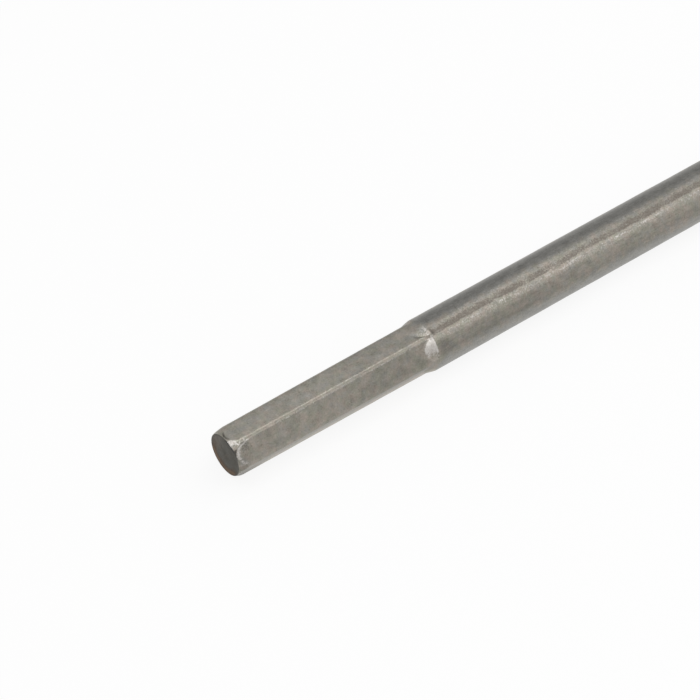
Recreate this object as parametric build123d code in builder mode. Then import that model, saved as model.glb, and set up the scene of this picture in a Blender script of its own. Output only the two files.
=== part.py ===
"""Spade bit for boring wood, forged in one piece from a round steel bar.

The bit's axis is +X, from the centre of the shank's end face, which is the
origin, to the centre point. The blade lies flat, with its faces towards +Z
and -Z. It cuts when it turns clockwise as seen from the shank, so the wing on
the +Y side leads with its upper face and the wing on the -Y side with its
lower one. All sizes are in millimetres and degrees.
"""

import os
from math import cos, radians, tan

from build123d import *

# The whole bit
overall_length = 152.0

# Hexagonal shank, which the forging draft makes slimmer towards its end
hex_sides = 6
hex_across_flats = 6.35  # where the flats meet the shoulder
hex_draft = 0.30  # how much less the end measures across its flats
hex_length = 29.4  # from the end face to the foot of the shoulder
hex_corner_cut = 0.11  # how far each sharp corner is rounded off
end_face_diameter = 5.9
end_chamfer_length = 1.3  # measured along the corners
end_crown_radius = 6.0  # of the chamfer's side, which is slightly domed

# Round shaft and the domed cone that the flats run out into
shaft_diameter = 7.4
cone_angle = 14.0  # between the cone's side and the axis
cone_crown_radius = 40.0  # of the cone's side, which is slightly domed
core_clearance = 0.2  # the cone's hidden start lies this far inside the flats

# Blade
blade_width = 25.0  # the bore that the bit cuts
blade_thickness = 3.0
blade_narrowing = 0.8  # how much less it measures behind, for clearance
wing_length = 30.0  # full width, from the lips back to the sloping shoulders
shoulder_slope = 42.0  # to the axis
shoulder_radius = 5.0  # where the shoulders turn into the sides
root_inset = 0.6  # the blade's root starts this far inside the shaft's side

# Run-out from the shaft to the blade
spear_length = 15.0  # the shaft's taper on the blade's faces
spear_depth = 0.25  # how far the taper's tip sinks below the blade's faces
spear_bend_radius = 80.0  # of the long soft bend where the taper starts
forging_radius = 1.8  # of the hollow round where the shaft meets the blade

# Centre point
point_length = 13.0
point_base_width = 7.0
tip_thickness = 0.8
tip_thinning_length = 5.0
gullet_radius = 1.2

# Cutting lips and scoring corners
lip_relief = 15.0  # how far the ground faces fall back behind the lips
flank_relief = 20.0  # and behind the point's flanks
spur_height = 1.2
spur_base_width = 2.0
spur_radius = 0.8

# How far the cutting tools reach past the steel
overshoot = 5.0

# One whole turn
full_turn = 360.0

# Places that follow from the sizes above
shaft_radius = shaft_diameter / 2
blade_top = blade_thickness / 2
lip_station = overall_length - point_length
wing_start = lip_station - wing_length
hex_tip_flats = hex_across_flats - hex_draft
half_side_angle = radians(full_turn / hex_sides / 2)
root_corner_radius = hex_across_flats / 2 / cos(half_side_angle) - hex_corner_cut
tip_corner_radius = hex_tip_flats / 2 / cos(half_side_angle) - hex_corner_cut
cone_slope = tan(radians(cone_angle))
core_radius = hex_across_flats / 2 - core_clearance
core_start = hex_length - core_clearance / cone_slope
shaft_start = hex_length + (shaft_radius - hex_across_flats / 2) / cone_slope


def corner_radius_at(station):
    """Radius over the shank's rounded corners at a distance from the end face."""
    growth = (root_corner_radius - tip_corner_radius) / hex_length
    return tip_corner_radius + growth * station


def flat_height_at(station):
    """Distance of the shank's flats from the axis, at a distance from the end face."""
    return (hex_tip_flats + hex_draft * station / hex_length) / 2


# The hexagonal shank: a round bar with a chamfered end, on which six slightly
# tilted flats are pressed. The strips of bar left between them are its corners.
flat_planes = [
    Plane.XZ.rotated((flat * full_turn / hex_sides, 0, 0)) for flat in range(hex_sides)
]
with BuildPart() as shank:
    with BuildSketch(Plane.XZ) as bar:
        with BuildLine():
            chamfer = RadiusArc(
                (0, end_face_diameter / 2),
                (end_chamfer_length, corner_radius_at(end_chamfer_length)),
                end_crown_radius,
            )
            Polyline(
                chamfer @ 1,
                (shaft_start, corner_radius_at(shaft_start)),
                (shaft_start, 0),
                (0, 0),
                chamfer @ 0,
            )
        make_face()
    revolve(axis=Axis.X)
    with BuildSketch(*flat_planes) as die:
        Polygon(
            (-overshoot, flat_height_at(-overshoot)),
            (shaft_start + overshoot, flat_height_at(shaft_start + overshoot)),
            (shaft_start + overshoot, shaft_diameter),
            (-overshoot, shaft_diameter),
            align=None,
        )
    extrude(amount=shaft_radius, both=True, mode=Mode.SUBTRACT)

# The round shaft: it starts as a cone inside the hexagon and ends as a slim
# spear that sinks into the blade's faces, half of it behind the full width.
spear_start = wing_start - spear_length / 2
spear_end = spear_start + spear_length
with BuildPart() as shaft:
    with BuildSketch(Plane.XY) as shaft_profile:
        with BuildLine():
            cone = RadiusArc(
                (core_start, core_radius),
                (shaft_start, shaft_radius),
                cone_crown_radius,
            )
            taper = FilletPolyline(
                cone @ 1,
                (spear_start, shaft_radius),
                (spear_end, blade_top - spear_depth),
                radius=spear_bend_radius,
            )
            Polyline(
                taper @ 1,
                (spear_end, 0),
                (core_start, 0),
                cone @ 0,
            )
        make_face()
    revolve(axis=Axis.X)

# The blade as it is forged, before grinding: a flat plate whose sloping
# shoulders start inside the shaft.
half_width = blade_width / 2
half_width_behind = half_width - blade_narrowing / 2
root_half_width = shaft_radius - root_inset
shoulder_run = (half_width_behind - root_half_width) / tan(radians(shoulder_slope))
root_station = wing_start - shoulder_run
with BuildPart() as blade:
    with BuildSketch(Plane.XY) as plate:
        with BuildLine():
            side = FilletPolyline(
                (root_station, root_half_width),
                (wing_start, half_width_behind),
                (lip_station + spur_height, half_width),
                radius=shoulder_radius,
            )
            Polyline(
                side @ 1,
                (overall_length, half_width),
                (overall_length, 0),
                (root_station, 0),
                side @ 0,
            )
        make_face()
        mirror(about=Plane.XZ)
    extrude(amount=blade_thickness / 2, both=True)

# The grinding wheel's cut on the +Y wing. Its edge is the line of lip, spur
# and point flank on the leading face, and it falls away under that line.
relief_x = tan(radians(lip_relief))
relief_y = tan(radians(flank_relief))
flank_slope = (point_base_width / 2 - relief_y * blade_top) / (
    point_length + relief_x * blade_top
)
flank_end = point_base_width / 2 - flank_slope * (point_length + overshoot)
spur_slope = spur_height / spur_base_width
slant = (1 + relief_x**2 + relief_y**2) ** 0.5  # length of the cut for each mm of depth
with BuildPart() as lip_grinding:
    with BuildSketch(Plane.XY.offset(blade_top)) as cut_away:
        with BuildLine():
            edge = FilletPolyline(
                (overall_length + overshoot, flank_end),
                (lip_station, point_base_width / 2),
                (lip_station, half_width - spur_base_width),
                (
                    lip_station + spur_slope * (spur_base_width + overshoot),
                    half_width + overshoot,
                ),
                radius=[gullet_radius, spur_radius],
            )
            Polyline(
                edge @ 1,
                (overall_length + overshoot, half_width + overshoot),
                edge @ 0,
            )
        make_face()
    extrude(
        amount=(blade_thickness + overshoot) * slant,
        dir=(-relief_x, -relief_y, -1),
    )

# The wedge that thins the point towards its tip, above the blade.
with BuildPart() as tip_thinning:
    with BuildSketch(Plane.XZ) as wedge:
        thinning_slope = (blade_top - tip_thickness / 2) / tip_thinning_length
        Polygon(
            (overall_length - tip_thinning_length, blade_top),
            (overall_length + overshoot, tip_thickness / 2 - thinning_slope * overshoot),
            (overall_length + overshoot, blade_top),
            align=None,
        )
    extrude(amount=half_width, both=True)

# The finished bit: forged in one, with a hollow round all along the seam of
# shaft and blade, then ground the same on both wings.
half_turn = Location((0, 0, 0), (full_turn / 2, 0, 0))
with BuildPart() as spade_bit:
    add(shaft.part)
    add(blade.part)
    fillet(spade_bit.edges(Select.NEW), forging_radius)
    add(shank.part)
    with Locations(Location(), half_turn):
        add(lip_grinding.part, mode=Mode.SUBTRACT)
        add(tip_thinning.part, mode=Mode.SUBTRACT)

spade_bit.part.label = "spade_bit"
os.makedirs("parts", exist_ok=True)
export_step(spade_bit.part, "parts/spade_bit.step")
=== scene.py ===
import math

import bpy
import numpy as np
from mathutils import Matrix


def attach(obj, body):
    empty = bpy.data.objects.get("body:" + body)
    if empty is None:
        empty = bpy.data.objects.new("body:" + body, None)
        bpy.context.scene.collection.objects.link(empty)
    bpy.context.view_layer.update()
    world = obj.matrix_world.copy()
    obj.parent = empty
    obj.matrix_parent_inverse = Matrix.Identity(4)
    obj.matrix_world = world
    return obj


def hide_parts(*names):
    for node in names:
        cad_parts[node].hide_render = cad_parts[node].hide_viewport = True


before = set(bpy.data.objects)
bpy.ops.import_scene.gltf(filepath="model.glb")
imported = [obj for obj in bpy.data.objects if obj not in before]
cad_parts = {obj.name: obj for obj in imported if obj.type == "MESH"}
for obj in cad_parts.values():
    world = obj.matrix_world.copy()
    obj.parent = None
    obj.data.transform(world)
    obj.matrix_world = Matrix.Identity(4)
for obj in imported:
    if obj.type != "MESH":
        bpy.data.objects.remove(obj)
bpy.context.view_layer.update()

# Everything below is worked out in millimetres and degrees, as the bit is
# drawn, and turned into Blender's metres when a mesh is filled.
metresPerMm = 0.001

hexShank = {
    "acrossFlats": 6.35,  # where the flats meet the shoulder
    "draft": 0.30,  # how much slimmer the end is
    "length": 29.4,
    "cornerCut": 0.11,
    "endFace": 5.9,  # diameter
    "chamfer": 1.3,
    "chamferCrown": 6.0,
    "edgeRound": 0.05,  # softness of the forged edges
    "dish": 0.012,  # how hollow each flat is pressed
    "waviness": 0.012,  # inward only, so that it stays in the drawn size
    "waveLengths": (17, 7, 12),
    "waveSeed": 11,
}

roundShaft = {
    "radius": 3.7,
    "coneAngle": 14.0,
    "coneCrown": 40.0,
    "coreClearance": 0.2,
    "taperStart": 101.5,
    "taperEnd": 116.5,
    "taperTip": 1.25,
    "taperBend": 80.0,
    "waviness": 0.016,  # inward only too
    "waveLengths": (23, 31, 9, 14),
    "waveSeed": 5,
}

spadeBlade = {
    "halfWidth": 12.5,
    "halfWidthBehind": 12.1,
    "halfThickness": 1.5,
    "wingStart": 109.0,
    "lipStation": 139.0,
    "shoulderSlope": 42.0,
    "shoulderRound": 5.0,
    "seamRound": 1.8,  # hollow round between shaft and blade
    "edgeRound": 0.14,
}

groundEnds = {
    "tip": 152.0,
    "pointHalfBase": 3.5,
    "gulletRound": 1.2,
    "spurBase": 2.0,
    "spurHeight": 1.2,
    "spurRound": 0.8,
    "lipRelief": 15.0,
    "flankRelief": 20.0,
    "tipHalfThickness": 0.4,
    "thinning": 5.0,
    "thinningRound": 0.08,  # softness of the line where the thinning starts
    "softness": 0.15,  # of the change to the ground finish there
}

# How many steps the mesh takes, round the bit and along it
steps = {
    "strip": 6,  # across each rounded corner of the hexagon
    "flat": 22,  # across each flat
    "side": 22,  # up each side wall of the blade
    "endFace": 14,
    "chamfer": 10,
    "pastChamfer": 10,
    "hexagon": 105,
    "nearShoulder": 14,
    "shoulder": 24,
    "pastShoulder": 10,
    "shaft": 124,
    "neck": 14,
    "taper": 76,
    "wing": 64,
    "bladeFlat": 10,  # across the flat part of half a blade face
    "bladeSeam": 8,  # across its hollow round
}

# Where along the bit one part of the mesh or of its finish hands over to the next
places = {
    "evenHexStart": 2.4,  # the rings lie evenly from here
    "evenHexEnd": 28.6,  # to here
    "evenShaftStart": 32.8,  # and again from here to the neck
    "hexWavesStart": (0.6, 2.0),  # the flats' hollows and waves come in
    "hexWavesEnd": (28.0, 29.2),  # and fade out
    "shaftWavesStart": (31.2, 33.0),  # and so do the shaft's waves
    "shaftWavesEnd": (92.0, 98.5),
    "lanesTurn": (36, 92),  # the hexagon's lanes turn into the blade's
    "taperNear": 90,  # from here on nothing is raised above the plain shaft
    "neckStart": 98.5,
    "neckEnd": 100.5,
    "frontLanes": 103.0,  # the blade's lanes start to turn into the front outline's
    "lastTaperRing": 118.5,  # straight lines run on from here
    "brushed": (103, 112),  # the blade's brushed finish comes in
    "groundWalls": 107.5,  # the side walls are ground from here on
}

# Numbers of lanes round a ring, in each half of it and on the blade's sides and faces
around = 6 * (steps["strip"] + steps["flat"])
halfWay = around // 2
halfSide = steps["side"] // 2
topSteps = halfWay - steps["side"]
halfTop = topSteps // 2
lane = np.arange(around) % halfWay


def blendIn(value, low, high):
    # 0 below low, 1 above high, and 3t^2 - 2t^3 in between
    t = np.clip((value - low) / (high - low), 0, 1)
    return t * t * (3 - 2 * t)


def softMin(a, b, reach):
    # the lower of a and b, with a parabola of the given reach across the corner
    h = np.clip(0.5 + 0.5 * (b - a) / reach, 0, 1)
    return b + (a - b) * h - reach * h * (1 - h)


def softMax(a, b, reach):
    # the higher of the two, rounded in the same way
    return -softMin(-a, -b, reach)


class Arc:
    # A domed side: the circle of the given radius through two points of a
    # profile, with its centre on the half line square to the chord's middle
    def __init__(self, start, end, radius):
        (x0, y0), (x1, y1) = start, end
        run, rise = x1 - x0, y1 - y0
        chord = math.hypot(run, rise)
        drop = math.sqrt(radius**2 - chord**2 / 4)
        self.radius = radius
        self.x = (x0 + x1) / 2 + rise / chord * drop
        self.y = (y0 + y1) / 2 - run / chord * drop

    def heightAt(self, x):
        # the centre's height, plus the root of the radius squared less the
        # squared distance along the axis
        return self.y + np.sqrt(np.maximum(self.radius**2 - (x - self.x) ** 2, 0))

    def stationAt(self, height):
        # the other way round: where the arc has this height, before its centre
        return self.x - np.sqrt(np.maximum(self.radius**2 - (height - self.y) ** 2, 0))


def flatHeight(x):
    # half the size across the flats, which grows evenly by the draft
    h = hexShank
    return (h["acrossFlats"] - h["draft"] + h["draft"] * x / h["length"]) / 2


def cornerRadius(x):
    # the flats' height over the cosine of 30 degrees, less the corner cut
    return flatHeight(x) / math.cos(math.radians(30)) - hexShank["cornerCut"]


chamferArc = Arc(
    (0, hexShank["endFace"] / 2),
    (hexShank["chamfer"], cornerRadius(hexShank["chamfer"])),
    hexShank["chamferCrown"],
)
coneSlope = math.tan(math.radians(roundShaft["coneAngle"]))
coneEnd = hexShank["length"] + (roundShaft["radius"] - hexShank["acrossFlats"] / 2) / coneSlope
coneArc = Arc(
    (
        hexShank["length"] - roundShaft["coreClearance"] / coneSlope,
        hexShank["acrossFlats"] / 2 - roundShaft["coreClearance"],
    ),
    (coneEnd, roundShaft["radius"]),
    roundShaft["coneCrown"],
)


def shaftRadius(x):
    # straight, then an arc that bends into the straight taper
    s = roundShaft
    slope = (s["radius"] - s["taperTip"]) / (s["taperEnd"] - s["taperStart"])
    turn = math.atan(slope)
    reach = s["taperBend"] * math.tan(turn / 2)
    bendStart = s["taperStart"] - reach
    bendEnd = s["taperStart"] + reach * math.cos(turn)
    onBend = s["radius"] - s["taperBend"] + np.sqrt(
        np.maximum(s["taperBend"] ** 2 - np.maximum(x - bendStart, 0) ** 2, 0)
    )
    onTaper = s["radius"] - slope * (x - s["taperStart"])
    return np.where(x < bendEnd, onBend, onTaper)


def sideSlope():
    # how much the side widens for each millimetre towards the lips
    b = spadeBlade
    run = b["lipStation"] + groundEnds["spurHeight"] - b["wingStart"]
    return (b["halfWidth"] - b["halfWidthBehind"]) / run


def halfWidth(x):
    # the sloping shoulder, an arc, then the side that widens slightly to the lips
    b = spadeBlade
    slope = math.radians(b["shoulderSlope"])
    side = sideSlope()
    turn = slope - math.atan(side)
    reach = b["shoulderRound"] * math.tan(turn / 2)
    startX = b["wingStart"] - reach * math.cos(slope)
    startY = b["halfWidthBehind"] - reach * math.sin(slope)
    endX = b["wingStart"] + reach * math.cos(math.atan(side))
    centreX = startX + b["shoulderRound"] * math.sin(slope)
    centreY = startY - b["shoulderRound"] * math.cos(slope)
    onSlope = b["halfWidthBehind"] - (b["wingStart"] - x) * math.tan(slope)
    onArc = centreY + np.sqrt(np.maximum(b["shoulderRound"] ** 2 - (x - centreX) ** 2, 0))
    onSide = b["halfWidthBehind"] + side * (x - b["wingStart"])
    return np.where(x < startX, onSlope, np.where(x < endX, onArc, onSide))


def thinnedHeight(x):
    # the blade's half thickness, ground down in a straight slope to the tip
    g, b = groundEnds, spadeBlade
    slope = (b["halfThickness"] - g["tipHalfThickness"]) / g["thinning"]
    wedge = g["tipHalfThickness"] + slope * (g["tip"] - x)
    return softMin(b["halfThickness"] + 0 * x, wedge, g["thinningRound"])


def seam(r):
    # where the hollow round touches the flat face and the shaft of radius r: its
    # circle's centre lies a hollow's radius outside both
    flat, hollow = spadeBlade["halfThickness"], spadeBlade["seamRound"]
    foot = np.sqrt(np.maximum((r + hollow) ** 2 - (flat + hollow) ** 2, 0))
    return foot, foot * r / (r + hollow)


def topHeight(x, y):
    # the round shaft's hump, the flat face, and the hollow round that touches both
    flat, hollow = spadeBlade["halfThickness"], spadeBlade["seamRound"]
    r = shaftRadius(x)
    foot, touch = seam(r)
    y = np.abs(y)
    onHump = np.sqrt(np.maximum(r**2 - y**2, 0))
    onRound = flat + hollow - np.sqrt(np.maximum(hollow**2 - (foot - y) ** 2, 0))
    height = np.where(y > foot, flat, np.where(y > touch, onRound, onHump))
    return np.where(r > flat, height, flat)


flatCrowding = 0.075  # how far a flat's points are drawn towards its edges


def hexAngles(x):
    # angles round the hexagon: corner strips of the width that the corner cut
    # leaves, and flats whose even steps are shifted by a sine towards the strips
    x = np.maximum(x, hexShank["chamfer"])
    halfStrip = 30 - np.degrees(np.arccos(flatHeight(x) / cornerRadius(x)))
    strip = np.arange(-steps["strip"] // 2, steps["strip"] // 2) / (steps["strip"] / 2)
    t = np.arange(steps["flat"]) / steps["flat"]
    t = t - flatCrowding * np.sin(2 * np.pi * t)
    onStrip = halfStrip * strip
    onFlat = halfStrip + (60 - 2 * halfStrip) * t
    sector = np.concatenate([onStrip, onFlat], axis=1)
    rows = np.concatenate([sector + 60 * side for side in range(6)], axis=1)
    rolled = np.roll(rows, -(steps["strip"] // 2), axis=1)
    rolled[:, -(steps["strip"] // 2):] += 360
    return rolled


def hexRadius(x, angle, reach):
    # the flats' height over the cosine of the angle from the nearest flat's
    # middle, or the turned bar's radius where that is less
    off = np.radians(np.mod(angle, 60) - 30)
    bar = np.where(x < hexShank["chamfer"], chamferArc.heightAt(x), cornerRadius(x))
    bar = softMin(bar, cornerRadius(x), reach)
    return softMin(flatHeight(x) / np.cos(off), bar, reach)


def shankRadius(x, angle, reach):
    # the hexagon, and the cone and shaft that it runs out into
    core = np.where(x < coneEnd, coneArc.heightAt(np.minimum(x, coneEnd)), roundShaft["radius"])
    core = softMin(core, roundShaft["radius"] + 0 * x, reach)
    hexagon = hexRadius(x, angle, reach)
    return np.where(x < coneEnd + 1, softMax(hexagon, core, reach), core)


def towards(start, end, count, power):
    # shares of the way from start to end, without the start: one less the left
    # share to the given power, so that a power above 1 crowds the end
    t = np.arange(1, count + 1) / count
    share = (1 - (1 - t) ** power)[:, None]
    return start + (end - start) * share


def away(start, end, count, power):
    # the same with the share itself to the power, which crowds the start
    t = np.arange(1, count + 1) / count
    return start + (end - start) * (t**power)[:, None]


# Where the chamfer and the cone cut the hexagon, for every angle round it:
# from a first guess, the arc's station at the hexagon's radius there, again and
# again
shankEnd = np.zeros((1, around))
laneAngle = hexAngles(np.array([[hexShank["chamfer"]]]))
chamferEdge = 0.7 + shankEnd
shoulderEdge = 30.0 + shankEnd
for _ in range(12):
    off = np.radians(np.mod(laneAngle, 60) - 30)
    chamferEdge = chamferArc.stationAt(
        np.minimum(flatHeight(chamferEdge) / np.cos(off), cornerRadius(chamferEdge))
    )
    shoulderEdge = coneArc.stationAt(
        np.minimum(flatHeight(shoulderEdge) / np.cos(off), cornerRadius(shoulderEdge))
    )

# The rings' stations lie close together at those edges. A power of 1 is even.
hexStart = places["evenHexStart"] + shankEnd
hexEnd = places["evenHexEnd"] + shankEnd
coneTop = coneEnd + shankEnd
shaftStart = places["evenShaftStart"] + shankEnd
shaftEnd = places["neckStart"] + shankEnd
crowded, lessCrowded = 1.8, 1.6
stations = np.concatenate([
    shankEnd,
    towards(shankEnd, chamferEdge, steps["chamfer"], lessCrowded),
    away(chamferEdge, hexStart, steps["pastChamfer"], crowded),
    away(hexStart, hexEnd, steps["hexagon"], 1),
    towards(hexEnd, shoulderEdge, steps["nearShoulder"], crowded),
    away(shoulderEdge, coneTop, steps["shoulder"], 1),
    away(coneTop, shaftStart, steps["pastShoulder"], lessCrowded),
    away(shaftStart, shaftEnd, steps["shaft"], 1),
])
print("rings on shank and shaft", len(stations))

# On the blade a ring has side walls and faces. The angles of a plain ring are
# shared out in the same way, so the hexagon's lanes turn into the blade's.
sideShare = np.arange(-halfSide, halfSide + 1) / halfSide
cornerShare = 1 - spadeBlade["edgeRound"] / spadeBlade["halfThickness"]
wallShare = sideShare * cornerShare * halfSide / (halfSide - 1)
wallShare[0], wallShare[-1] = -1, 1
cornerAngle = math.degrees(math.asin(spadeBlade["halfThickness"] / roundShaft["radius"]))
topAngles = cornerAngle + (180 - 2 * cornerAngle) * np.arange(topSteps + 1) / topSteps
sideAngles = cornerAngle * sideShare
bladeAngles = np.concatenate([
    sideAngles[halfSide:-1],
    topAngles[:-1],
    180 + sideAngles[:-1],
    180 + topAngles[:-1],
    360 + sideAngles[:halfSide],
])[None, :]
toBlade = blendIn(stations, *places["lanesTurn"])
angles = hexAngles(stations[:, :1]) * (1 - toBlade) + bladeAngles * toBlade


def ripples(x, angle, seed, lengths, amount):
    # a sum of long waves along the bit and of shorter, half as high ones, all
    # turning with the angle, pressed by a hyperbolic tangent between 0 and -amount
    shorter = 0.37
    rng = np.random.default_rng(seed)
    total = 0 * x
    for length in lengths:
        turns = rng.integers(1, 5)
        swing, start, phase = rng.uniform(0, 2 * np.pi, 3)
        turned = turns * np.radians(angle)
        longWave = np.cos(2 * np.pi * x / length + start) * np.cos(turned + swing)
        shortWave = np.cos(2 * np.pi * x / (shorter * length) + phase + turned)
        total = total + longWave + 0.5 * shortWave
    return amount * (np.tanh(total) - 1) / 2


# Marks pressed or knocked into the steel: where along the bit, at what angle,
# how long and wide (mm), and how high or deep
marks = [
    {"at": 1.75, "angle": 118.0, "long": 0.35, "wide": 0.22, "high": -0.05},
    {"at": 2.5, "angle": 122.5, "long": 0.3, "wide": 0.15, "high": -0.035},
    {"at": 1.35, "angle": 126.5, "long": 0.22, "wide": 0.3, "high": -0.05},
    {"at": 4.1, "angle": 117.0, "long": 0.5, "wide": 0.12, "high": -0.02},
    {"at": 0.75, "angle": 131.0, "long": 0.2, "wide": 0.25, "high": 0.02},
    {"at": 14.2, "angle": 119.5, "long": 0.6, "wide": 0.12, "high": -0.02},
    {"at": 21.7, "angle": 121.5, "long": 0.8, "wide": 0.12, "high": -0.018},
    {"at": 31.46, "angle": 107.0, "long": 0.16, "wide": 0.55, "high": 0.04},
    {"at": 31.95, "angle": 110.0, "long": 0.25, "wide": 0.6, "high": -0.05},
    {"at": 30.6, "angle": 114.0, "long": 0.35, "wide": 0.18, "high": -0.03},
    {"at": 31.3, "angle": -66.0, "long": 0.2, "wide": 0.6, "high": 0.03},
    {"at": 31.7, "angle": -66.0, "long": 0.2, "wide": 0.5, "high": -0.04},
    {"at": 1.3, "angle": 2.0, "long": 0.3, "wide": 0.3, "high": -0.04},
    {"at": 1.5, "angle": 241.0, "long": 0.4, "wide": 0.2, "high": -0.04},
    {"at": 11.0, "angle": -61.0, "long": 0.4, "wide": 0.15, "high": -0.03},
    {"at": 58.0, "angle": 64.0, "long": 1.6, "wide": 0.3, "high": -0.02},
    {"at": 74.0, "angle": 205.0, "long": 1.2, "wide": 0.4, "high": -0.02},
]


def markHeights(x, angle, radius):
    # a bell of the given length and width at each mark
    total = 0 * x
    for mark in marks:
        off = np.mod(angle - mark["angle"] + 180, 360) - 180
        along = (x - mark["at"]) / mark["long"]
        across = np.radians(off) * radius / mark["wide"]
        total = total + mark["high"] * np.exp(-(along**2) - across**2)
    return total


# The hollow flats, the ripples and the marks, faded out at the ends of the
# hexagon and of the shaft
radii = shankRadius(stations, angles, hexShank["edgeRound"])
onHexagon = blendIn(stations, *places["hexWavesStart"])
onHexagon = onHexagon * (1 - blendIn(stations, *places["hexWavesEnd"]))
onShaft = blendIn(stations, *places["shaftWavesStart"])
onShaft = onShaft * (1 - blendIn(stations, *places["shaftWavesEnd"]))
offFlat = np.mod(angles, 60) - 30
radii -= hexShank["dish"] * np.cos(np.radians(offFlat) * 3) ** 2 * onHexagon
for form, here in ((roundShaft, onShaft), (hexShank, onHexagon)):
    seed, lengths, amount = form["waveSeed"], form["waveLengths"], form["waviness"]
    radii += ripples(stations, angles, seed, lengths, amount) * here
radii += markHeights(stations, angles, radii)
lowest = np.minimum(radii, shaftRadius(stations))
radii = np.where(stations > places["taperNear"], lowest, radii)
turn = np.radians(angles)
shankPoints = np.stack([stations, radii * np.cos(turn), radii * np.sin(turn)], axis=-1)


# The front outline: the lines that the grinding wheel leaves on one wing, at
# any height. Each height's outline is the leading face's, moved back by the
# reliefs times the depth under that face.
frontSteps = {"spur": 3, "spurRound": 3, "lip": 7, "gullet": 4, "flank": 14}


def roundedCorner(corner, before, after, radius, count):
    # arc of the given radius between two straight edges that leave the corner
    # in the directions before and after
    before = before / np.linalg.norm(before)
    after = after / np.linalg.norm(after)
    half = math.acos(np.clip(before @ after, -1, 1)) / 2
    middle = (before + after) / np.linalg.norm(before + after)
    centre = corner + middle * radius / math.sin(half)
    first = corner + before * radius / math.tan(half) - centre
    last = corner + after * radius / math.tan(half) - centre
    start = math.atan2(first[1], first[0])
    sweep = math.atan2(last[1], last[0]) - start
    sweep = (sweep + math.pi) % (2 * math.pi) - math.pi
    angle = start + sweep * np.arange(count + 1) / count
    return centre + radius * np.stack([np.cos(angle), np.sin(angle)], axis=-1)


def frontOutline(share):
    # points of one wing's front edge from its side to the tip, at one height,
    # which comes as a share of the half thickness in an array of one
    b, g = spadeBlade, groundEnds
    reliefX = math.tan(math.radians(g["lipRelief"]))
    reliefY = math.tan(math.radians(g["flankRelief"]))
    length = g["tip"] - b["lipStation"]
    tipHalfWidth = g["pointHalfBase"] - reliefY * b["halfThickness"]
    flankSlope = tipHalfWidth / (length + reliefX * b["halfThickness"])
    spurSlope = g["spurHeight"] / g["spurBase"]
    gullet = np.array([b["lipStation"], g["pointHalfBase"]])
    spur = np.array([b["lipStation"], b["halfWidth"] - g["spurBase"]])
    upSpur, outwards = np.array([spurSlope, 1.0]), np.array([0.0, 1.0])
    alongFlank = np.array([1.0, -flankSlope])
    spurArc = roundedCorner(spur, upSpur, -outwards, g["spurRound"], frontSteps["spurRound"])
    gulletArc = roundedCorner(
        gullet, outwards, alongFlank, g["gulletRound"], frontSteps["gullet"]
    )
    depth = b["halfThickness"] * (1 - share)
    shift = np.stack([-reliefX * depth, -reliefY * depth], axis=-1)
    # the spur's slope meets the side, which is a straight line too
    side = sideSlope()
    sideAtZero = b["halfWidthBehind"] - side * b["wingStart"]
    start = b["lipStation"] + shift[..., 0] - spurSlope * (spur[1] + shift[..., 1])
    cornerX = (start + spurSlope * sideAtZero) / (1 - spurSlope * side)
    cornerY = b["halfWidthBehind"] + side * (cornerX - b["wingStart"])
    corner = np.stack([cornerX, cornerY], axis=-1)
    t = np.arange(1, frontSteps["spur"] + 1)[:, None] / frontSteps["spur"]
    onSpur = corner + (spurArc[0] + shift - corner) * t
    t = np.arange(1, frontSteps["lip"] + 1)[:, None] / frontSteps["lip"]
    onLip = spurArc[-1] + (gulletArc[0] - spurArc[-1]) * t + shift
    t = np.arange(1, frontSteps["flank"] + 1) / frontSteps["flank"]
    flankStart = gulletArc[-1][0] + shift[..., 0]
    flankX = flankStart + (g["tip"] - flankStart) * t
    flankZ = share * thinnedHeight(flankX)
    under = b["halfThickness"] - flankZ
    pastLip = flankX - b["lipStation"] + reliefX * under
    flankY = g["pointHalfBase"] - reliefY * under - flankSlope * pastLip
    flat = np.concatenate([corner, onSpur, spurArc[1:] + shift, onLip, gulletArc[1:] + shift])
    z = np.full(len(flat), share * b["halfThickness"])
    plain = np.column_stack([flat, z])
    return np.concatenate([plain, np.column_stack([flankX, flankY, flankZ])])


# Rows from the top face down, columns from the +Y side to the -Y side. The -Y
# wing is the +Y one after half a turn about the axis.
rowShares = wallShare[::-1]
wingRows = np.stack([frontOutline(np.array([share])) for share in rowShares])
otherRows = wingRows[::-1] * np.array([1, -1, -1])
frontGrid = np.concatenate([wingRows, otherRows[:, -2::-1]], axis=1)
print("front grid", frontGrid.shape)


# How near the middle the mesh's lanes may come where the taper has sunk into
# the blade and neither hump nor hollow round is left
leastFoot, leastHump, leastRound = 2.4, 1.3, 0.6


def faceLanes(x):
    # points across half a blade face, from its side to the middle: even steps
    # over the flat part, over the hollow round and over the hump
    edge = spadeBlade["edgeRound"]
    width = halfWidth(x)
    foot, touch = seam(shaftRadius(x))
    foot = np.clip(foot, leastFoot, width - 2 * edge)
    touch = np.clip(touch, leastHump, foot - leastRound)
    humpSteps = halfTop - 1 - steps["bladeFlat"] - steps["bladeSeam"]
    t = np.arange(1, steps["bladeFlat"] + 1) / steps["bladeFlat"]
    onFlat = (width - edge) + (foot - width + edge) * t
    t = np.arange(1, steps["bladeSeam"] + 1) / steps["bladeSeam"]
    onRound = foot + (touch - foot) * t
    t = np.arange(1, humpSteps + 1) / humpSteps
    onHump = touch * (1 - t)
    return np.concatenate([width, width - edge, onFlat, onRound, onHump], axis=1)


# The front outline's own points across half a face, from side to middle
flankCount = frontSteps["flank"]
flankLeft = 1 - np.arange(1, flankCount + 1) / flankCount
frontAcross = wingRows[0][:, 1].copy()
frontAcross[-flankCount:] = frontAcross[-flankCount - 1] * flankLeft
frontAcross[1] = frontAcross[0] - spadeBlade["edgeRound"]


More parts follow.
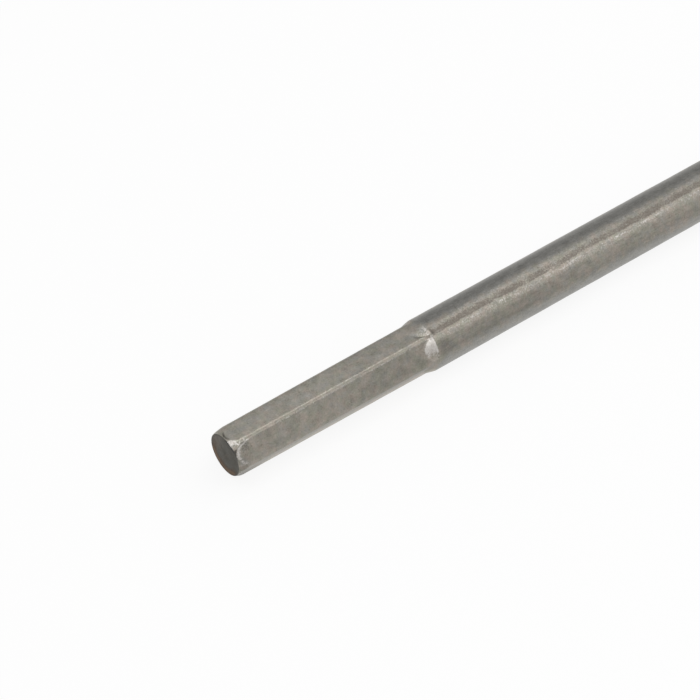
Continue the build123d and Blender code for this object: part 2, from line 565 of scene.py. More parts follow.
def bladeRing(x):
    # rings of a column of stations: side wall, top face, other wall, bottom face,
    # with the corners set in by an edge radius less its share on the diagonal
    b = spadeBlade
    width = halfWidth(x)
    toFront = blendIn(x, places["frontLanes"], places["lastTaperRing"])
    across = faceLanes(x) * (1 - toFront) + frontAcross / frontAcross[0] * width * toFront
    inset = b["edgeRound"] * (1 - math.sqrt(0.5))
    height = topHeight(x, across)
    height[:, 0] -= inset
    across[:, 0] -= inset
    halfTopRow = np.stack([across, height], axis=-1)
    otherHalf = halfTopRow[:, -2::-1] * np.array([-1, 1])
    top = np.concatenate([halfTopRow, otherHalf], axis=1)
    wallZ = wallShare * b["halfThickness"] + 0 * x
    wallZ[:, 0] += inset
    wallZ[:, -1] -= inset
    wallY = width + 0 * wallZ
    wallY[:, 0] -= inset
    wallY[:, -1] -= inset
    wall = np.stack([wallY, wallZ], axis=-1)
    ring = np.concatenate([
        wall[:, halfSide:-1], top[:, :-1], -wall[:, :-1], -top[:, :-1], wall[:, :halfSide],
    ], axis=1)
    station = np.broadcast_to(x[..., None], ring.shape[:2] + (1,))
    return np.concatenate([station, ring], axis=-1)


taperStations = np.linspace(places["neckEnd"], places["lastTaperRing"], steps["taper"] + 1)
taperPoints = bladeRing(taperStations[:, None])

# The neck: cubic curves that leave the last round ring and meet the first
# blade ring in its own direction, which a small step away from each shows
smallStep = 0.02
beforeNeck = np.array([[places["neckStart"] - smallStep]])
radius = shaftRadius(beforeNeck)
before = np.stack([
    beforeNeck + 0 * bladeAngles,
    radius * np.cos(np.radians(bladeAngles)),
    radius * np.sin(np.radians(bladeAngles)),
], axis=-1)[0]
first, last = shankPoints[-1], taperPoints[0]
after = bladeRing(np.array([[places["neckEnd"] + smallStep]]))[0]
span = places["neckEnd"] - places["neckStart"]
startSlope = (first - before) / smallStep * span
endSlope = (after - last) / smallStep * span
t = (np.arange(1, steps["neck"]) / steps["neck"])[:, None, None]
neckPoints = (
    (2 * t**3 - 3 * t**2 + 1) * first
    + (t**3 - 2 * t**2 + t) * startSlope
    + (3 * t**2 - 2 * t**3) * last
    + (t**3 - t**2) * endSlope
)

# The front grid's border in the order of a blade ring, which starts at the middle
# of the +Y wall and goes up first
frontRing = np.concatenate([
    frontGrid[halfSide:0:-1, 0],
    frontGrid[0, :-1],
    frontGrid[:-1, -1],
    frontGrid[-1, :0:-1],
    frontGrid[:halfSide:-1, 0],
])

# The wing: rings on straight lines from the last taper ring to the front outline
# that crowd towards it, and on the faces the height of the thinned point
frontCrowding = 1.35
t = np.arange(1, steps["wing"] + 1) / steps["wing"]
t = (1 - (1 - t) ** frontCrowding)[:, None, None]
wingPoints = taperPoints[-1] + (frontRing - taperPoints[-1]) * t
upOrDown = np.where(np.arange(around) < halfWay, 1, -1)
onFace = (lane > halfSide) & (lane < halfSide + topSteps)
thinned = upOrDown * thinnedHeight(wingPoints[..., 0])
wingPoints[..., 2] = np.where(onFace, thinned, wingPoints[..., 2])

rings = np.concatenate([shankPoints, neckPoints, taperPoints, wingPoints])
print("rings in all", rings.shape)

# The end face: rings that shrink to a pole, sunk by one less the cosine of a
# wave that runs inwards and once round, as a sheared face is slightly uneven
shearedFace = {
    "sunk": 0.02,
    "waves": 2.1,  # radians for each millimetre inwards
    "level": 0.25,  # share of the way in where the waves are full
    "poleSunk": 0.01,
}
t = (np.arange(1, steps["endFace"]) / steps["endFace"])[:, None]
faceRadius = radii[:1] * (1 - t)
sunk = shearedFace["sunk"] * (1 - np.cos(faceRadius * shearedFace["waves"] + turn[:1]))
sunk = sunk * blendIn(t, 0, shearedFace["level"])
endFace = np.stack([
    sunk, faceRadius * np.cos(turn[:1]), faceRadius * np.sin(turn[:1]),
], axis=-1)
pole = np.array([[shearedFace["poleSunk"], 0.0, 0.0]])

innerFront = frontGrid[1:-1, 1:-1]
points = np.concatenate([
    rings.reshape(-1, 3), endFace.reshape(-1, 3), pole, innerFront.reshape(-1, 3),
])


def quadBands(index):
    # four corners for every cell of a grid of point numbers
    return np.stack([
        index[:-1, :-1], index[:-1, 1:], index[1:, 1:], index[1:, :-1],
    ], axis=-1).reshape(-1, 4)


# Point numbers: each ring's first one again at its end, which closes the seam,
# and the front's border shared with the last ring
ringIndex = np.arange(len(rings) * around).reshape(-1, around)
discIndex = ringIndex.size + np.arange(len(endFace) * around).reshape(-1, around)
poleIndex = ringIndex.size + discIndex.size
ringIndex = np.concatenate([ringIndex, ringIndex[:, :1]], axis=1)
discIndex = np.concatenate([discIndex, discIndex[:, :1]], axis=1)
discIndex = np.concatenate([ringIndex[:1], discIndex])
innerShape = innerFront.shape[:2]
capIndex = np.zeros(frontGrid.shape[:2], int)
capIndex[1:-1, 1:-1] = poleIndex + 1 + np.arange(math.prod(innerShape)).reshape(innerShape)
lastRing = ringIndex[-1]
capIndex[0] = lastRing[halfSide:halfSide + topSteps + 1]
capIndex[:, -1] = lastRing[halfSide + topSteps:halfWay + halfSide + 1]
capIndex[-1] = lastRing[halfWay + halfSide:halfWay + halfSide + topSteps + 1][::-1]
capIndex[:halfSide + 1, 0] = lastRing[halfSide::-1]
capIndex[halfSide:, 0] = lastRing[around:around - halfSide - 1:-1]

bodyFaces = quadBands(ringIndex)
discFaces = quadBands(discIndex)[:, ::-1]
poleFaces = np.stack([
    discIndex[-1, :-1], np.full(around, poleIndex), discIndex[-1, 1:],
], axis=-1)
capFaces = quadBands(capIndex)
print("points", len(points), "faces", len(bodyFaces) + len(discFaces) + len(capFaces))


sharpFrom = 28  # degrees between two faces, from which their edge stays sharp


def fillMesh(name, points, groups, materials):
    # one mesh from points in millimetres and groups of faces with their material's number
    mesh = bpy.data.meshes.new(name)
    corners = np.concatenate([faces.reshape(-1) for faces, _ in groups])
    sizes = np.concatenate([np.full(len(faces), faces.shape[1]) for faces, _ in groups])
    starts = np.concatenate([[0], np.cumsum(sizes)[:-1]])
    numbers = np.concatenate([number + np.zeros(len(faces), int) for faces, number in groups])
    mesh.vertices.add(len(points))
    mesh.vertices.foreach_set("co", (points * metresPerMm).astype(np.float32).ravel())
    mesh.loops.add(len(corners))
    mesh.loops.foreach_set("vertex_index", corners.astype(np.int32))
    mesh.polygons.add(len(sizes))
    mesh.polygons.foreach_set("loop_start", starts.astype(np.int32))
    mesh.polygons.foreach_set("material_index", numbers.astype(np.int32))
    mesh.polygons.foreach_set("use_smooth", np.ones(len(sizes), bool))
    for material in materials:
        mesh.materials.append(material)
    mesh.update(calc_edges=True)
    mesh.validate()
    mesh.set_sharp_from_angle(angle=math.radians(sharpFrom))
    piece = bpy.data.objects.new(name, mesh)
    bpy.context.scene.collection.objects.link(piece)
    return piece


class Shade:
    # Wraps one socket of a material's nodes: +, - and * on it add Math nodes
    def __init__(self, tree, socket=None):
        self.tree = tree
        self.socket = socket

    def node(self, kind, settings=None, sockets=None, output=0):
        # any node: its settings are set first, then the values or links of its sockets
        made = self.tree.nodes.new("ShaderNode" + kind)
        for name, setting in (settings or {}).items():
            setattr(made, name, setting)
        for name, given in (sockets or {}).items():
            if isinstance(given, Shade):
                self.tree.links.new(given.socket, made.inputs[name])
            else:
                made.inputs[name].default_value = given
        return Shade(self.tree, made.outputs[output])

    def math(self, operation, first, second):
        # one Math node on two values
        return self.node("Math", {"operation": operation}, {0: first, 1: second})

    def __add__(self, other):
        return self.math("ADD", self, other)

    def __radd__(self, other):
        return self.math("ADD", other, self)

    def __sub__(self, other):
        return self.math("SUBTRACT", self, other)

    def __rsub__(self, other):
        return self.math("SUBTRACT", other, self)

    def __mul__(self, other):
        return self.math("MULTIPLY", self, other)

    def __rmul__(self, other):
        return self.math("MULTIPLY", other, self)

    def larger(self, other):
        # the larger of the two values
        return self.math("MAXIMUM", self, other)

    def between(self, low, high):
        # 0 below low, 1 above high, smooth from one to the other
        return self.node(
            "MapRange", {"interpolation_type": "SMOOTHSTEP"},
            {"Value": self, "From Min": low, "From Max": high},
        )

    def attribute(self, name):
        # what the mesh says at each point under this name
        return self.node("Attribute", {"attribute_name": name}, output="Fac")

    def stretched(self, times):
        # a position squeezed or stretched along the three axes
        return self.node("VectorMath", {"operation": "MULTIPLY"}, {0: self, 1: times})

    def noise(self, scale, detail=3.0, roughness=0.55):
        # cloudy values around 0 at this position
        cloud = self.node(
            "TexNoise", None,
            {"Vector": self, "Scale": scale, "Detail": detail, "Roughness": roughness}, "Fac",
        )
        return cloud - 0.5

    def mixed(self, first, second):
        # this value's mix of two colours
        return self.node("Mix", {"data_type": "RGBA"}, {0: self, 6: first, 7: second}, 2)

    def brightened(self, times):
        # this colour, times a value
        return self.node("VectorMath", {"operation": "SCALE"}, {0: self, "Scale": times})


def newMaterial(name):
    # a material with its Principled shader and a first Shade on its nodes
    material = bpy.data.materials.new(name)
    material.use_nodes = True
    return material, material.node_tree.nodes["Principled BSDF"], Shade(material.node_tree)


def linkInto(shader, sockets):
    # each value into the shader's socket of that name
    for name, shade in sockets.items():
        shade.tree.links.new(shade.socket, shader.inputs[name])


# The makers' noise scales are waves for each metre of the bit, so 1000 makes
# clouds of about a millimetre, and a stretch below 1 draws them out that way.
forgedFinish = {
    "greenGrey": (0.326, 0.316, 0.262, 1),
    "warmGrey": (0.362, 0.320, 0.276, 1),
    "coolGrey": (0.313, 0.308, 0.288, 1),
    "bareSteel": (0.68, 0.652, 0.617, 1),
    "darkStain": (0.156, 0.138, 0.118, 1),
    "paleStain": (0.224, 0.201, 0.174, 1),
    "shadeAndPitGrey": (0.085, 0.080, 0.070, 1),
    "roughness": 0.43,
    "bareRoughness": 0.36,
    "grainDepth": 0.00002,
}

groundFinish = {
    "steel": (0.60, 0.59, 0.57, 1),
    "duller": (0.47, 0.46, 0.44, 1),
    "roughness": 0.30,
    "lineDepth": 0.00001,
}


def makeForgedSteel():
    # two greys in patches and a cooler one that also paints a cool reflection, clouds and
    # grain over them, streaks along the drawn shaft, painted light and shade from the tone,
    # then stains, painted shade in creases, rubbed bare steel with painted highlights and
    # glints, and the point's wheel lines where the mesh says
    f = forgedFinish
    material, shader, shade = newMaterial("forgedSteel")
    place = shade.node("TexCoord", output="Object")
    drawn = shade.attribute("drawn")
    brushed = shade.attribute("brushed")
    ground = shade.attribute("ground")
    rubbedAndHighlitBy = shade.attribute("bareAndHighlight")
    paintedLightHere = shade.attribute("tone")
    patches = place.noise(650, 3)
    tint = place.stretched((1, 1.3, 0.8)).noise(1900, 3)
    clouds = place.noise(1100, 4, 0.6)
    grain = place.noise(4600, 3, 0.65)
    streaks = place.stretched((0.2, 1, 1)).noise(3000, 4, 0.65)
    scratches = place.stretched((0.03, 1, 1)).noise(9000, 2)
    drift = place.noise(900, 3)
    tone = 1 + 0.2 * patches + 0.6 * clouds + 0.6 * grain
    tone = tone + drawn * (0.6 * streaks + 0.15 * scratches) + brushed * 0.5 * scratches
    mottle = (patches + 0.6 * tint).between(-0.14, 0.14).mixed(f["greenGrey"], f["warmGrey"])
    # the mesh's cool value is a painted cool reflection, mixed with cool patches at random
    coolPatchesAndPaintedTint = (shade.attribute("paintedCoolTint") + 0.28 + 2.0 * drift).between(0, 1)
    colour = coolPatchesAndPaintedTint.mixed(mottle, f["coolGrey"])
    # the mesh's tone value, mostly painted light and shade, scales the colour as well as its own
    # tone
    colour = colour.brightened(tone * paintedLightHere)
    broken = 0.7 * clouds + 2.2 * grain
    stain = (shade.attribute("stain") - 0.9 * broken + drawn * 0.8 * streaks).between(0.1, 1.0)
    dark = (shade.attribute("dark") + 0.4 * broken).between(0.2, 0.9)
    # rubbed bare steel, and painted highlights and glints, where the mesh says
    bareAndHighlight = (rubbedAndHighlitBy + broken).between(0.25, 1.0)
    stainColour = (0.5 + 1.5 * grain + 1.3 * streaks).mixed(f["darkStain"], f["paleStain"])
    colour = stain.mixed(colour, stainColour)
    # painted shade in creases, dents and steps, and a few dark marks, where the mesh says dark
    colour = dark.mixed(colour, f["shadeAndPitGrey"])
    smear = place.stretched((1, 0.2, 0.2)).noise(4200, 3)
    rubbedAndGlint = (0.80 + 1.3 * smear + 1.1 * grain).mixed(f["warmGrey"], f["bareSteel"])
    # brighter where the mesh's value of rubbing and highlight is high, which paints a glint, and
    # dimmed with the painted light and shade of the tone
    rubbedAndGlint = rubbedAndGlint.brightened((0.72 + 0.28 * rubbedAndHighlitBy) * (0.3 + 0.7 * paintedLightHere))
    colour = bareAndHighlight.mixed(colour, rubbedAndGlint)
    pits = place.noise(2700, 2).between(0.17, 0.26)
    colour = (pits * 0.35).mixed(colour, f["shadeAndPitGrey"])
    wheelLines = place.stretched((1, 0.04, 1)).noise(9000, 3, 0.6)
    polished = (0.6 + 1.6 * wheelLines).mixed(groundFinish["duller"], groundFinish["steel"])
    colour = ground.mixed(colour, polished)
    rough = f["roughness"] + 0.25 * clouds + 0.1 * stain
    rough = rough + bareAndHighlight * (f["bareRoughness"] - f["roughness"]) + brushed * 0.25 * scratches
    rough = rough + ground * (groundFinish["roughness"] - f["roughness"])
    height = grain + 0.7 * clouds - 0.6 * pits + 0.5 * drawn * streaks + 0.8 * brushed * scratches
    bump = shade.node(
        "Bump", None, {"Strength": 0.55, "Distance": f["grainDepth"], "Height": height}
    )
    shader.inputs["Metallic"].default_value = 1
    linkInto(shader, {"Base Color": colour, "Roughness": rough, "Normal": bump})
    return material


def makeGroundSteel():
    # fine lines that the wheel leaves, and a few duller places between them
    f = groundFinish
    material, shader, shade = newMaterial("groundSteel")
    place = shade.node("TexCoord", output="Object")
    lines = place.stretched((1, 1, 0.04)).noise(9000, 3, 0.6)
    clouds = place.noise(700, 3)
    colour = (0.5 + 1.6 * lines + 1.2 * clouds).mixed(f["duller"], f["steel"])
    rough = f["roughness"] + 0.3 * clouds + 0.2 * lines
    bump = shade.node(
        "Bump", None, {"Strength": 0.4, "Distance": f["lineDepth"], "Height": lines}
    )
    shader.inputs["Metallic"].default_value = 1
    linkInto(shader, {"Base Color": colour, "Roughness": rough, "Normal": bump})
    return material


shearedFinish = {
    "scale": (0.064, 0.060, 0.047, 1),
    "lighter": (0.135, 0.117, 0.098, 1),
    "brown": (0.090, 0.060, 0.039, 1),
    "rust": (0.155, 0.097, 0.055, 1),
    "black": (0.018, 0.018, 0.018, 1),
    "roughness": 0.5,
    "scaleDepth": 0.00003,
}


def makeShearedEnd():
    # dark scale, lighter where it is worn, in clouds and along the shear's marks,
    # then brown to rusty, and black where the mesh says, which along the rim beside the
    # near corner is a painted shadow line
    f = shearedFinish
    material, shader, shade = newMaterial("shearedEnd")
    place = shade.node("TexCoord", output="Object")
    clouds = place.noise(800, 4, 0.6)
    grain = place.noise(3800, 3)
    drag = place.stretched((1, 1, 0.18)).noise(3600, 3)
    worn = shade.attribute("bareAndHighlight")
    stain = shade.attribute("stain")
    light = 0.15 + 0.8 * worn + 1.8 * clouds + 0.9 * grain + 0.8 * drag
    colour = light.between(0, 1).mixed(f["scale"], f["lighter"])
    rust = (stain + 0.9 * clouds + 0.5 * grain).between(0.15, 0.75)
    redder = (stain + 0.5 * grain).between(0.85, 1.1)
    colour = rust.mixed(colour, redder.mixed(f["brown"], f["rust"]))
    dark = (shade.attribute("dark") + 0.3 * grain).between(0.2, 0.9)
    colour = dark.mixed(colour, f["black"])
    rough = f["roughness"] + 0.3 * clouds + 0.15 * rust
    height = clouds + 0.6 * grain + 0.6 * drag
    bump = shade.node(
        "Bump", None, {"Strength": 0.6, "Distance": f["scaleDepth"], "Height": height}
    )
    metal = 0.85 - 0.6 * rust
    linkInto(shader, {"Base Color": colour, "Roughness": rough, "Normal": bump, "Metallic": metal})
    return material


# How much of each finish, and of painted light and shade, every ring point
# carries. Places are in millimetres from the end face, and angles in degrees round
# the axis, 90 at the top and 120 at the corner nearest the camera.
wearAndHighlights = {
    "corners": {120: 1.0, 60: 0.08, 180: 0.12, 0: 0.6, 240: 0.7, 300: 0.9},
    "runOuts": {150: 1.0, 90: 0.05, 30: 0.5, 330: 0.85, 270: 0.12, 210: 0.05},
    "flashLine": 126.7,
    "flashSides": {0: 1.0, 180: 0.6},  # turned from the flash line, and how strong
}
x = rings[..., 0]
theta = np.degrees(np.arctan2(rings[..., 2], rings[..., 1])) % 360


def turnedFrom(middle):
    # degrees from a place round the axis, -180 to 180
    return np.mod(theta - middle + 180, 360) - 180


def bell(value, middle, width):
    # e to the minus square of the distance from the middle, in widths
    return np.exp(-(((value - middle) / width) ** 2))


def window(value, low, high, soft):
    # 1 between low and high, with a soft step twice as long as soft at each end
    return blendIn(value, low - soft, low + soft) * (1 - blendIn(value, high - soft, high + soft))


def waver(seed, lengths, amount):
    # ripples along the bit that are the same all round, between -amount and amount
    return ripples(x, 0 * x, seed, lengths, 2 * amount) + amount


def wave(angle):
    # the cosine of an angle in degrees
    return np.cos(np.radians(angle))


chamferAt = np.interp(theta, laneAngle[0] % 360, chamferEdge[0], period=360)
shoulderAt = np.interp(theta, laneAngle[0] % 360, shoulderEdge[0], period=360)
bareAndHighlight, stain, dark = 0 * x, 0 * x, 0 * x

# each corner's two rubbed lines, with a faint stain between them
halfStrip = 30 - np.degrees(np.arccos(np.minimum(flatHeight(x) / cornerRadius(x), 1)))
onHex = window(x, 1.2, 31.2, 0.3)
for corner, amount in wearAndHighlights["corners"].items():
    off = turnedFrom(corner)
    upper = bell(off, -halfStrip - 0.3, 0.8) * (0.84 + waver(corner + 1, (3.1, 1.7, 5.3), 0.3))
    upper = upper * (0.4 + 0.6 * blendIn(x, 3, 12))
    lower = bell(off, halfStrip + 1.5, 0.9) * (1.15 + waver(corner + 2, (2.3, 4.1, 7.7), 0.35))
    lower = lower * (0.35 + 0.65 * blendIn(x, 4, 10))
    bareAndHighlight += 0.60 * amount * (upper + 1.05 * lower) * onHex * (np.abs(off) < 12)
    stain += 0.3 * amount * bell(off, 0.3, 1.5) * onHex

# the chamfer: rubbed bare steel with a painted glint at the near corner, rubbed
# and painted highlight unevenly along its lower crease, painted shade along the crease
# above, and dark on its own lower part
nearCorner = bell(theta, 114, 10) * window(x, -1, 0.5 + 0.02 * (theta - 100), 0.12)
roughCorner = bell(theta, 123, 6) * window(x, 0.8, 2.2, 0.3)
creaseAt = chamferAt + 0.19 + 1.0 * blendIn(-theta, -133, -121)
uneven = 0.72 + 0.2 * wave(43 * (theta - 131)) + 0.14 * wave(71 * (theta - 138))
lowerCrease = window(theta, 125, 174, 3) * bell(x, creaseAt, 0.26) * uneven
lowerCrease = lowerCrease * (1.5 - 0.5 * blendIn(theta, 148, 164))
# painted glint at the near corner and painted highlight along the lower crease, on rubbed steel
bareAndHighlight += 1.05 * nearCorner + 0.5 * roughCorner + 1.15 * lowerCrease
stain += 0.6 * bell(theta, 136, 9) * window(x, 1.1, 2.6, 0.4)
bareAndHighlight += 0.1 * bell(theta, 178, 9) * window(x, 0.1, 1.3, 0.2)
farSide = 1 - window(theta, 60, 190, 10)
bareAndHighlight += farSide * (0.4 * bell(x, chamferAt, 0.12) + 0.25 * window(x, -1, chamferAt, 0.1))
# painted shade along the crease above
dark += 0.68 * window(theta, 74, 104, 4) * bell(x, chamferAt + 0.03, 0.23)
lowerChamfer = window(theta, 131, 174, 4) * window(x, -1, chamferAt - 0.06, 0.05)
dark += (0.85 - 0.5 * blendIn(theta, 145, 170)) * lowerChamfer
# a painted shadow line along the rim beside the near corner
dark += 0.9 * window(theta, 98, 132, 6) * (x == 0)

# the run-outs on the shoulder, the rubbed triangle beside the near corner with
# painted shadow along the dent under it, and the ridge that the die left across the
# corner with painted shade in the step behind it
onCone = blendIn(x, shoulderAt + 0.28, shoulderAt + 0.55) * (1 - blendIn(x, 31.40, 31.62))
for middle, amount in wearAndHighlights["runOuts"].items():
    off = turnedFrom(middle)
    fading = 1.4 - 1.15 * blendIn(off, -10, 18) - 0.65 * blendIn(-off, 15, 26)
    bareAndHighlight += fading * amount * onCone * window(off, -27, 23, 6)
dentLine = 109.4 + 7 * (x - 29.8)  # degrees, rising towards the shoulder
triangle = window(x, 29.85, 31.3, 0.12) * blendIn(dentLine - theta, 0.5, 3)
bareAndHighlight += 0.42 * triangle * blendIn(theta + 3.6 * (x - 30), 98, 102)
bareAndHighlight += 0.5 * bell(x, 31.40, 0.09) * window(theta, 122, 156, 5)
bareAndHighlight += 0.10 * bell(theta, 114, 4) * window(x, 30.1, 31.2, 0.25)
bareAndHighlight += 0.48 * bell(x, 31.42, 0.14) * window(theta, 93, 115, 3)
bareAndHighlight += 0.30 * bell(x, 31.28, 0.14) * window(theta, 92, 106, 3)
stain += 0.6 * bell(x, 31.35, 0.35) * window(theta, 158, 172, 6)
stain += 0.6 * bell(x, 31.1, 0.3) * window(theta, 116, 123, 2)
# painted shade in the step behind the ridge, where the corner meets the shaft
dark += 0.42 * bell(x, 31.84, 0.24) * window(theta, 101, 121, 4)
stain += 0.5 * bell(x, 31.9, 0.28) * window(theta, 101, 122, 4)
# painted shadow along the dent under the rubbed triangle
dark += 0.55 * bell(theta, dentLine + 1, 1.9) * window(x, 29.6, 30.9, 0.2)

# the flash line along the shaft, partly rubbed and partly a painted highlight, with
# painted highlight bands and the stain beside it, on both sides
flashAt = wearAndHighlights["flashLine"] + waver(33, (19.0, 41.0), 1.0) + waver(37, (3.1, 5.3, 7.9), 0.9)
onShaftOnly = window(x, 31.7, 97.0, 0.4) * (1 - blendIn(x, 82, 96))
for opposite, amount in wearAndHighlights["flashSides"].items():
    off = turnedFrom(flashAt + opposite)
    patchy = 1 + waver(47, (2.3, 4.3, 6.7), 0.45)
    # the line itself is partly rubbed and partly painted highlight; the bands 8 degrees to one
    # side and 27 to the other are painted highlights
    bright = 0.72 * patchy * bell(off, 1.2, 2.8) + 0.6 * bell(off, 8, 7) + 0.4 * bell(off, -27, 6)
    bareAndHighlight += 0.45 * amount * bright * onShaftOnly * (1 + waver(41, (9.0, 33.0, 23.0), 0.3))
    brown = bell(off, -12.5, 6.5) + 0.7 * bell(off, -6.5, 2.2)
    stain += 0.74 * amount * brown * onShaftOnly * (1 + waver(43, (5.0, 31.0, 11.0), 0.25))
    dark += 0.27 * amount * bell(off, -10.0, 5.0) * onShaftOnly

# painted cool reflection and painted shade in bands along the shaft: angle, width,
# and how cool or dark
drawn = window(x, 31.4, 104.0, 0.8)
paintedCoolReflectionBands = ((74, 22, 1.1), (200, 24, 0.75), (255, 25, 0.6))
paintedShadeBands = ((84, 20, 0.20), (168, 16, 0.22), (264, 20, 0.15), (350, 18, 0.15))
paintedCoolTint = drawn * sum(amount * bell(theta, middle, width) for middle, width, amount in paintedCoolReflectionBands)
tone = 1 - drawn * sum(amount * bell(theta, middle, width) for middle, width, amount in paintedShadeBands)
# painted shade on the top of the shaft further along
tone -= 0.12 * drawn * bell(theta, 108, 14) * window(x, 62, 98, 6)
# darker over the flash line's band
tone -= 0.07 * drawn * window(theta, 107, 135, 4)
# a painted highlight band further along
tone += 0.10 * drawn * bell(theta, 149, 7) * blendIn(x, 50, 62)
# painted shade low on the near side, near the shoulder
tone -= 0.11 * drawn * bell(theta, 164, 7) * (1 - blendIn(x, 44, 54))
# darker beside the run-out at 150 degrees, by the shoulder
tone -= 0.24 * bell(x, 32.6, 0.9) * bell(theta, 150, 9)
# the blade a little lighter
tone += 0.12 * blendIn(x, 104, 116)

# painted light and shade on the flats, and darker places on the chamfer and near the
# shoulder
hexagonal = (1 - drawn) * (x < 60)
# painted cool reflection and painted light on the upper flat, lighter still towards the near
# corner; the flat below it a little lighter
paintedCoolTint += 0.12 * hexagonal * window(theta, 60, 114, 3)
tone += hexagonal * window(theta, 60, 117, 1) * (0.21 + 0.07 * (theta - 90) / 30)
tone += hexagonal * window(theta, 123, 176, 1) * 0.05
# darker along the middle of the near corner
tone -= (0.24 - 0.14 * blendIn(x, 22, 28)) * onHex * bell(turnedFrom(120), 0.3, 2.4)
# the flat that faces down to the floor: a painted reflection of the floor, paler away from the end
# and darker near it
lit = blendIn(theta, 192, 226) * (0.70 * blendIn(x, 0.8, 6) - 0.28)
tone += hexagonal * window(theta, 176, 239, 2) * (lit - 0.10)
# painted shade beside the dent, and in the crease behind the ridge near the shoulder
tone -= 0.36 * bell(theta, 108, 9) * window(x, 29.4, 31.3, 0.3)
tone -= 0.34 * bell(theta, 127, 7) * window(x, 31.05, 31.55, 0.12)
# darker towards the shoulder, more so on the flat below the near corner
tone -= 0.07 * window(x, 19.5, 30.0, 2) * (1 + 0.9 * window(theta, 150, 178, 6))
tone -= 0.32 * nearCorner
tone -= 0.22 * window(theta, 160, 196, 8) * window(x, -1, 1.1, 0.2)

# the blade's edges: bare where they are rubbed
bladeEdge = (lane == halfSide) | (lane == halfSide + topSteps)
bareAndHighlight = np.where(x > 104, 0.75 * bladeEdge * blendIn(x, 104, 110), bareAndHighlight)
bareAndHighlight[-1] = 0.85

# the end face: rust on its lower rim, a black painted shadow line along the rim
# beside the near corner, and lighter scale on its far side. Angles past 360 carry on to
# the top.
share = (np.arange(1, steps["endFace"]) / steps["endFace"])[:, None]
discTheta = angles[:1] % 360 + 0 * share
out = 1 - share + 0 * discTheta  # 0 at the pole, 1 at the rim
rimToTop = discTheta + 360 * (discTheta < 180)
discStain = 1.05 * window(discTheta, 228, 352, 12) * blendIn(out, 0.66, 0.97)
discStain += 0.55 * window(rimToTop, 210, 385, 20) * blendIn(out, 0.4, 0.8)
# a painted shadow line along the rim beside the near corner
discDark = 0.95 * window(discTheta, 92, 138, 8) * blendIn(out, 0.88, 0.93)
discDark += 0.40 * window(discTheta, 225, 340, 12) * blendIn(out, 0.7, 0.88)
discDark += 0.65 * window(rimToTop, 345, 440, 12) * blendIn(out, 0.86, 0.96)
discWorn = 0.65 * window(rimToTop, 325, 445, 25) * blendIn(out, 0.1, 0.8)


def spreadOut(ringValues, discValues):
    # one value for every point: rings and end face, then 0 for pole and front
    rest = np.zeros(1 + math.prod(innerShape))
    return np.concatenate([ringValues.ravel(), discValues.ravel(), rest])


thinningAt = groundEnds["tip"] - groundEnds["thinning"]
softness = groundEnds["softness"]
finishes = {
    "bareAndHighlight": spreadOut(bareAndHighlight, discWorn),
    "stain": spreadOut(stain, discStain),
    "dark": spreadOut(dark, discDark),
    "drawn": spreadOut(drawn, 0 * out),
    "brushed": spreadOut(blendIn(x, *places["brushed"]), 0 * out),
    "ground": spreadOut(blendIn(x, thinningAt - softness, thinningAt + softness), 0 * out),
    "paintedCoolTint": spreadOut(paintedCoolTint, 0 * out),
    "tone": spreadOut(tone, 1 + 0 * out),
}

# The blade's side walls are ground like the front
forged, ground, sheared = 0, 1, 2
ringMiddle = (rings[1:, :, 0] + rings[:-1, :, 0]) / 2
onWall = (lane < halfSide) | (lane >= halfSide + topSteps)
groundWall = onWall & (ringMiddle > places["groundWalls"])
bodyMaterials = np.where(groundWall, ground, forged).ravel()

bit = fillMesh(
    "spadeBit",
    points,
    [(bodyFaces, bodyMaterials), (discFaces, sheared), (poleFaces, sheared), (capFaces, ground)],
    [makeForgedSteel(), makeGroundSteel(), makeShearedEnd()],
)
for name, values in finishes.items():
    layer = bit.data.attributes.new(name, "FLOAT", "POINT")
    layer.data.foreach_set("value", values.astype(np.float32))
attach(bit, "root")
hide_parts("spade_bit")
print("bit made, triangles", sum(len(f.vertices) - 2 for f in bit.data.polygons))

studio = {
    "floorHalf": 0.9,
    "floorColour": (0.95, 0.95, 0.95, 1),
    "paperShare": 0.87,  # how much of the floor is seen as plain white paper
    "worldLevel": 0.56,
    "aim": (0.03, 0.0, 0.0),  # the lamps face this place on the shank
    "lamps": {
        "overhead": {"at": (0.20, -0.17, 0.60), "size": (1.4, 0.8), "level": 0.95},
        "front": {"at": (-0.24, -0.66, 0.16), "size": (0.28, 0.25), "level": 0.8},
    },
}


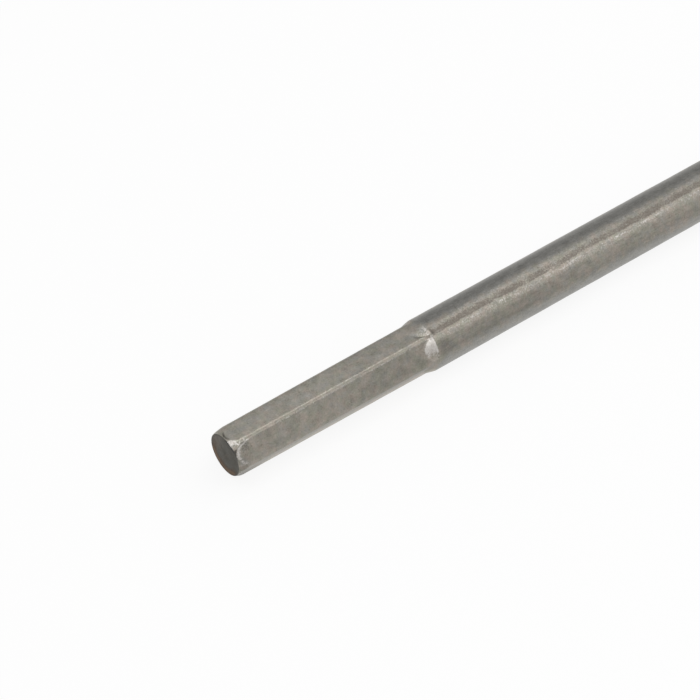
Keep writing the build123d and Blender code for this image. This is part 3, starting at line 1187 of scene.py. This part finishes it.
def makeFloor():
    # one square that the shaft lies on; the camera and reflections see most of it
    # as plain white, and the rest of it takes light and the bit's shadow
    half, level = studio["floorHalf"], -roundShaft["radius"] * metresPerMm
    mesh = bpy.data.meshes.new("floor")
    mesh.from_pydata(
        [(-half, -half, level), (half, -half, level), (half, half, level), (-half, half, level)],
        [], [(0, 1, 2, 3)],
    )
    floor = bpy.data.objects.new("floor", mesh)
    bpy.context.scene.collection.objects.link(floor)
    material, shader, shade = newMaterial("paper")
    shader.inputs["Base Color"].default_value = studio["floorColour"]
    shader.inputs["Roughness"].default_value = 0.9
    shader.inputs["Specular IOR Level"].default_value = 0.0
    camera = shade.node("LightPath", output="Is Camera Ray")
    glossy = shade.node("LightPath", output="Is Glossy Ray")
    through = shade.node("LightPath", output="Is Transmission Ray")
    seen = camera.larger(glossy).larger(through) * studio["paperShare"]
    white = shade.node("Emission", None, {"Color": (1, 1, 1, 1), "Strength": 1.0})
    lit = Shade(material.node_tree, shader.outputs["BSDF"])
    both = shade.node("MixShader", None, {0: seen, 1: lit, 2: white})
    surface = material.node_tree.nodes["Material Output"].inputs["Surface"]
    material.node_tree.links.new(both.socket, surface)
    mesh.materials.append(material)


makeFloor()
print("floor made")


def facing(place, target):
    # a matrix at the place, with its Z pointing away from the target and its X
    # square to that and to the world's Y
    back = np.array(place) - np.array(target)
    back /= np.linalg.norm(back)
    side = np.cross([0.0, 1.0, 0.0], back)
    side /= np.linalg.norm(side)
    turned = Matrix((side, np.cross(back, side), back)).transposed().to_4x4()
    turned.translation = place
    return turned


for name, lamp in studio["lamps"].items():
    light = bpy.data.lights.new(name, "AREA")
    light.shape = "RECTANGLE"
    light.size, light.size_y = lamp["size"]
    light.energy = lamp["level"] * math.pi * light.size * light.size_y
    holder = bpy.data.objects.new(name, light)
    holder.matrix_world = facing(lamp["at"], studio["aim"])
    bpy.context.scene.collection.objects.link(holder)

world = bpy.data.worlds.new("studio")
bpy.context.scene.world = world
world.use_nodes = True
background = world.node_tree.nodes["Background"]
background.inputs["Color"].default_value = (1, 1, 1, 1)
background.inputs["Strength"].default_value = studio["worldLevel"]
print("lamps and world made")

view = {
    "lens": 143.97,
    "sensor": 36,
    "at": (-0.131092, -0.207981, 0.249190),
    "turned": (46.5756, 1.6246, -37.5142),  # degrees about X, Y and Z
    "clip": (0.01, 10),
}
camera = bpy.data.objects.new("camera", bpy.data.cameras.new("camera"))
camera.data.lens = view["lens"]
camera.data.sensor_width = view["sensor"]
camera.data.clip_start, camera.data.clip_end = view["clip"]
camera.location = view["at"]
camera.rotation_euler = [math.radians(angle) for angle in view["turned"]]
bpy.context.scene.collection.objects.link(camera)
bpy.context.scene.camera = camera
bpy.context.scene.view_settings.view_transform = "Standard"
print("camera made")
